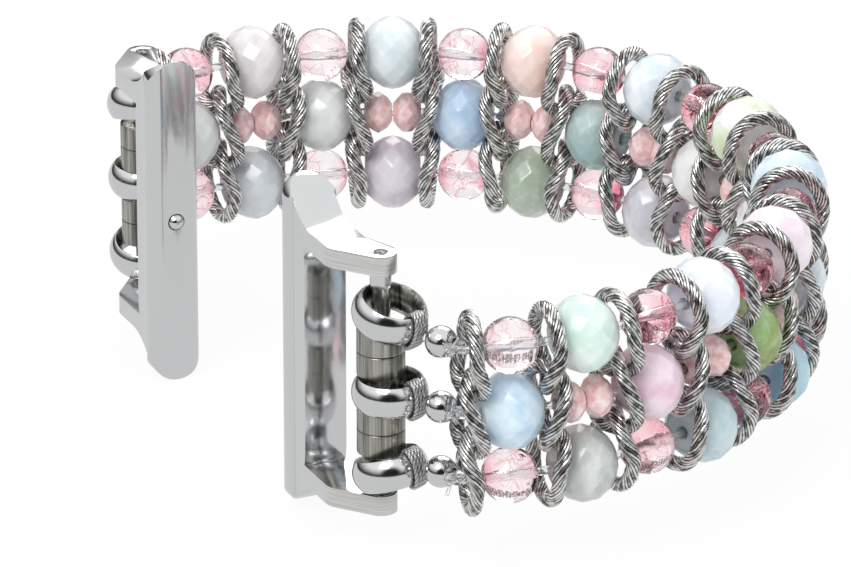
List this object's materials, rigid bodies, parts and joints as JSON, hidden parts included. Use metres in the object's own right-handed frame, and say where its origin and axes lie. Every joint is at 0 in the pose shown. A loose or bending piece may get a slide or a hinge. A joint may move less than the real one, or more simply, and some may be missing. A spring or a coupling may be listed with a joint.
{
  "type": "watch band",
  "caption": "Elastic watch band of faceted stone and glass bead columns joined by twisted-rope links, with a sliding slot connector at each end.",
  "frame": {"origin": "centre of the base: the plan centre of the worn loop, at the level of the lower slider ends", "axes": "+Z along the band width, upwards as it stands on edge; +X from the far connector to the near one; -Y towards the connectors, where the head goes"},
  "size_m": [0.0832, 0.0602, 0.033],
  "materials": {
    "polished_steel": "polished steel",
    "brushed_steel": "brushed",
    "rope_steel": "twisted polished wire",
    "stone": "faceted, translucent, polished",
    "crackle_glass": "clear with pink crackle",
    "elastic": "clear elastic strands",
    "cord": "twisted"
  },
  "bodies": {
    "near_connector": {"near_slider": "polished_steel", "near_hinge_bar": "polished_steel", "near_catch_spring": "brushed_steel", "elastic_cord_bottom": "elastic", "elastic_cord_middle": "elastic", "elastic_cord_top": "elastic"},
    "near_catch": {"near_catch": "polished_steel"},
    "near_tubes": {"near_spacer_tubes": "brushed_steel"},
    "near_rings": {"near_rings": "polished_steel", "near_cord_loops": "cord"},
    "near_balls": {"near_balls": "polished_steel"},
    "far_connector": {"far_slider": "polished_steel", "far_hinge_bar": "polished_steel", "far_catch_spring": "brushed_steel"},
    "far_catch": {"far_catch": "polished_steel"},
    "far_tubes": {"far_spacer_tubes": "brushed_steel"},
    "far_rings": {"far_rings": "polished_steel", "far_cord_loops": "cord"},
    "far_balls": {"far_balls": "polished_steel"},
    "column_01": {"column_01_stone": "stone", "column_01_glass_beads": "crackle_glass", "column_01_rope_links": "rope_steel"},
    "column_02": {"column_02_stones": "stone"},
    "column_03": {"column_03_stone": "stone", "column_03_glass_beads": "crackle_glass", "column_03_rope_links": "rope_steel"},
    "column_04": {"column_04_stones": "stone"},
    "column_05": {"column_05_stone": "stone", "column_05_glass_beads": "crackle_glass", "column_05_rope_links": "rope_steel"},
    "column_06": {"column_06_stones": "stone"},
    "column_07": {"column_07_stone": "stone", "column_07_glass_beads": "crackle_glass", "column_07_rope_links": "rope_steel"},
    "column_08": {"column_08_stones": "stone"},
    "column_09": {"column_09_stone": "stone", "column_09_glass_beads": "crackle_glass", "column_09_rope_links": "rope_steel"},
    "column_10": {"column_10_stones": "stone"},
    "column_11": {"column_11_stone": "stone", "column_11_glass_beads": "crackle_glass", "column_11_rope_links": "rope_steel"},
    "column_12": {"column_12_stones": "stone"},
    "column_13": {"column_13_stone": "stone", "column_13_glass_beads": "crackle_glass", "column_13_rope_links": "rope_steel"},
    "column_14": {"column_14_stones": "stone"},
    "column_15": {"column_15_stone": "stone", "column_15_glass_beads": "crackle_glass", "column_15_rope_links": "rope_steel"},
    "column_16": {"column_16_stones": "stone"},
    "column_17": {"column_17_stone": "stone", "column_17_glass_beads": "crackle_glass", "column_17_rope_links": "rope_steel"},
    "column_18": {"column_18_stones": "stone"},
    "column_19": {"column_19_stone": "stone", "column_19_glass_beads": "crackle_glass", "column_19_rope_links": "rope_steel"}
  },
  "joints": [
    {"name": "near_catch_press", "type": "slide", "parent": "near_connector", "child": "near_catch", "axis": [1, 0, 0], "range_m": [0, 0.0006], "stiffness_N_per_m": 500, "springref_m": -0.0005, "deforming": ["near_catch_spring"]},
    {"name": "near_tubes_spin", "type": "hinge", "parent": "near_connector", "child": "near_tubes", "pos_m": [0.028, -0.02551, 0.0158], "axis": [0, 0, 1], "continuous": true},
    {"name": "far_catch_press", "type": "slide", "parent": "far_connector", "child": "far_catch", "axis": [-1, 0, 0], "range_m": [0, 0.0006], "stiffness_N_per_m": 500, "springref_m": -0.0005, "deforming": ["far_catch_spring"]},
    {"name": "far_tubes_spin", "type": "hinge", "parent": "far_connector", "child": "far_tubes", "pos_m": [-0.028, -0.02551, 0.0158], "axis": [0, 0, 1], "continuous": true},
    {"name": "near_rings_swing", "type": "hinge", "parent": "near_connector", "child": "near_rings", "pos_m": [0.028, -0.02551, 0.0158], "axis": [0, 0, 1], "range_deg": [-35, 10]},
    {"name": "near_balls_swing", "type": "hinge", "parent": "near_rings", "child": "near_balls", "pos_m": [0.03284, -0.02325, 0.0158], "axis": [0, 0, 1], "range_deg": [-30, 5]},
    {"name": "column_01_bend", "type": "hinge", "parent": "near_balls", "child": "column_01", "pos_m": [0.0366, -0.02042, 0.0158], "axis": [0, 0, 1], "range_deg": [-45, 2], "deforming": ["elastic_cord_bottom", "elastic_cord_middle", "elastic_cord_top"]},
    {"name": "column_02_bend", "type": "hinge", "parent": "column_01", "child": "column_02", "pos_m": [0.03762, -0.01333, 0.0158], "axis": [0, 0, 1], "range_deg": [-13, 2]},
    {"name": "column_03_bend", "type": "hinge", "parent": "column_02", "child": "column_03", "pos_m": [0.03729, -0.00617, 0.0158], "axis": [0, 0, 1], "range_deg": [-13, 2]},
    {"name": "column_04_bend", "type": "hinge", "parent": "column_03", "child": "column_04", "pos_m": [0.03561, 0.0008, 0.0158], "axis": [0, 0, 1], "range_deg": [-13, 2]},
    {"name": "column_05_bend", "type": "hinge", "parent": "column_04", "child": "column_05", "pos_m": [0.03264, 0.00732, 0.0158], "axis": [0, 0, 1], "range_deg": [-13, 2]},
    {"name": "column_06_bend", "type": "hinge", "parent": "column_05", "child": "column_06", "pos_m": [0.02849, 0.01316, 0.0158], "axis": [0, 0, 1], "range_deg": [-13, 2]},
    {"name": "column_07_bend", "type": "hinge", "parent": "column_06", "child": "column_07", "pos_m": [0.0233, 0.01811, 0.0158], "axis": [0, 0, 1], "range_deg": [-13, 2]},
    {"name": "column_08_bend", "type": "hinge", "parent": "column_07", "child": "column_08", "pos_m": [0.01727, 0.02199, 0.0158], "axis": [0, 0, 1], "range_deg": [-13, 2]},
    {"name": "column_09_bend", "type": "hinge", "parent": "column_08", "child": "column_09", "pos_m": [0.01062, 0.02466, 0.0158], "axis": [0, 0, 1], "range_deg": [-13, 2]},
    {"name": "column_10_bend", "type": "hinge", "parent": "column_09", "child": "column_10", "pos_m": [0.00358, 0.02601, 0.0158], "axis": [0, 0, 1], "range_deg": [-13, 2]},
    {"name": "column_11_bend", "type": "hinge", "parent": "column_10", "child": "column_11", "pos_m": [-0.00358, 0.02601, 0.0158], "axis": [0, 0, 1], "range_deg": [-13, 2]},
    {"name": "column_12_bend", "type": "hinge", "parent": "column_11", "child": "column_12", "pos_m": [-0.01062, 0.02466, 0.0158], "axis": [0, 0, 1], "range_deg": [-13, 2]},
    {"name": "column_13_bend", "type": "hinge", "parent": "column_12", "child": "column_13", "pos_m": [-0.01727, 0.02199, 0.0158], "axis": [0, 0, 1], "range_deg": [-13, 2]},
    {"name": "column_14_bend", "type": "hinge", "parent": "column_13", "child": "column_14", "pos_m": [-0.0233, 0.01811, 0.0158], "axis": [0, 0, 1], "range_deg": [-13, 2]},
    {"name": "column_15_bend", "type": "hinge", "parent": "column_14", "child": "column_15", "pos_m": [-0.02849, 0.01316, 0.0158], "axis": [0, 0, 1], "range_deg": [-13, 2]},
    {"name": "column_16_bend", "type": "hinge", "parent": "column_15", "child": "column_16", "pos_m": [-0.03264, 0.00732, 0.0158], "axis": [0, 0, 1], "range_deg": [-13, 2]},
    {"name": "column_17_bend", "type": "hinge", "parent": "column_16", "child": "column_17", "pos_m": [-0.03561, 0.0008, 0.0158], "axis": [0, 0, 1], "range_deg": [-13, 2]},
    {"name": "column_18_bend", "type": "hinge", "parent": "column_17", "child": "column_18", "pos_m": [-0.03729, -0.00617, 0.0158], "axis": [0, 0, 1], "range_deg": [-13, 2]},
    {"name": "column_19_bend", "type": "hinge", "parent": "column_18", "child": "column_19", "pos_m": [-0.03762, -0.01333, 0.0158], "axis": [0, 0, 1], "range_deg": [-13, 2]},
    {"name": "far_balls_swing", "type": "hinge", "parent": "column_19", "child": "far_balls", "pos_m": [-0.0366, -0.02042, 0.0158], "axis": [0, 0, 1], "range_deg": [-45, 2]},
    {"name": "far_rings_swing", "type": "hinge", "parent": "far_balls", "child": "far_rings", "pos_m": [-0.03284, -0.02325, 0.0158], "axis": [0, 0, 1], "range_deg": [-30, 5]},
    {"name": "far_connector_swing", "type": "hinge", "parent": "far_rings", "child": "far_connector", "pos_m": [-0.028, -0.02551, 0.0158], "axis": [0, 0, 1], "range_deg": [-35, 10]}
  ]
}
